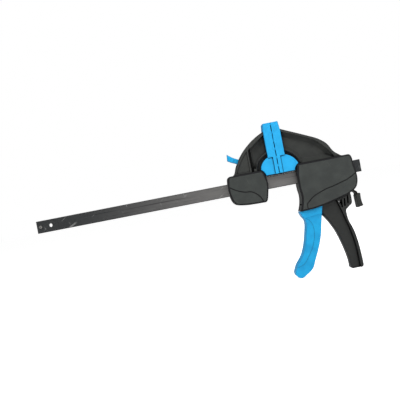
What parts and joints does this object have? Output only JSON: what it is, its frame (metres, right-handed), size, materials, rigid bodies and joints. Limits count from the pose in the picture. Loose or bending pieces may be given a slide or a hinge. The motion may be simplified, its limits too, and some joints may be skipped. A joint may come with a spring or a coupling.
{
  "type": "quick release bar clamp",
  "caption": "One-handed quick release bar clamp: a trigger feeds a flat bar through the body, and levers release the brake and the sliding jaw.",
  "frame": {"origin": "on the bar's centreline, at the plane where the two jaw faces meet", "axes": "+X along the bar from the moving jaw to the handle, +Y across the clamp's thickness, +Z toward the jaw tips"},
  "size_m": [0.536, 0.036, 0.2567],
  "materials": {
    "bar_steel": "blackened, drawn along its length",
    "pin_steel": "plain",
    "plate_steel": "hardened",
    "spring_steel": "plain wire",
    "screw_steel": "blackened",
    "frame_plastic": "satin, glass filled",
    "cover_plastic": "satin",
    "pad_blue": "smooth, soft",
    "trigger_blue": "satin"
  },
  "bodies": {
    "main_body": {"body_frame": "frame_plastic", "body_cover_near": "cover_plastic", "body_cover_far": "cover_plastic", "body_cover_screws": "screw_steel", "body_pad": "pad_blue", "trigger_pivot_pin": "pin_steel"},
    "bar": {"bar": "bar_steel", "bar_stop_pin": "pin_steel"},
    "trigger": {"trigger": "trigger_blue"},
    "drive": {"drive_plates": "plate_steel", "drive_spring": "spring_steel"},
    "brake": {"brake_lever": "plate_steel", "brake_paddle": "frame_plastic", "brake_spring": "spring_steel"},
    "moving_jaw": {"jaw_frame": "frame_plastic", "jaw_cover_near": "cover_plastic", "jaw_cover_far": "cover_plastic", "jaw_cover_screws": "screw_steel", "jaw_pad": "pad_blue", "release_pivot_pin": "pin_steel"},
    "release": {"release_lever": "trigger_blue"},
    "lock": {"lock_plates": "plate_steel", "lock_spring": "spring_steel"}
  },
  "joints": [
    {"name": "bar_slide", "type": "slide", "parent": "main_body", "child": "bar", "axis": [1, 0, 0], "range_m": [-0.009, 0.3]},
    {"name": "jaw_slide", "type": "slide", "parent": "main_body", "child": "moving_jaw", "axis": [1, 0, 0], "range_m": [-0.3, 0]},
    {"name": "trigger_pull", "type": "hinge", "parent": "main_body", "child": "trigger", "pos_m": [0.045, 0, 0.014], "axis": [0, -1, 0], "range_deg": [0, 15]},
    {"name": "drive_push", "type": "slide", "parent": "main_body", "child": "drive", "axis": [1, 0, 0], "range_m": [0, 0.0089], "deforming": ["drive_spring"]},
    {"name": "brake_tip", "type": "hinge", "parent": "main_body", "child": "brake", "pos_m": [0.104, 0, 0.014], "axis": [0, 1, 0], "range_deg": [0, 3], "deforming": ["brake_spring"]},
    {"name": "release_press", "type": "hinge", "parent": "moving_jaw", "child": "release", "pos_m": [-0.056, 0, 0.036], "axis": [0, -1, 0], "range_deg": [0, 12]},
    {"name": "lock_tip", "type": "hinge", "parent": "moving_jaw", "child": "lock", "pos_m": [-0.054, 0, -0.0165], "axis": [0, 1, 0], "range_deg": [0, 9.6], "deforming": ["lock_spring"]}
  ],
  "couplings": [
    {"joint": "drive_push", "follows": "trigger_pull", "m_per_rad": 0.034},
    {"joint": "lock_tip", "follows": "release_press", "ratio": 0.8}
  ]
}
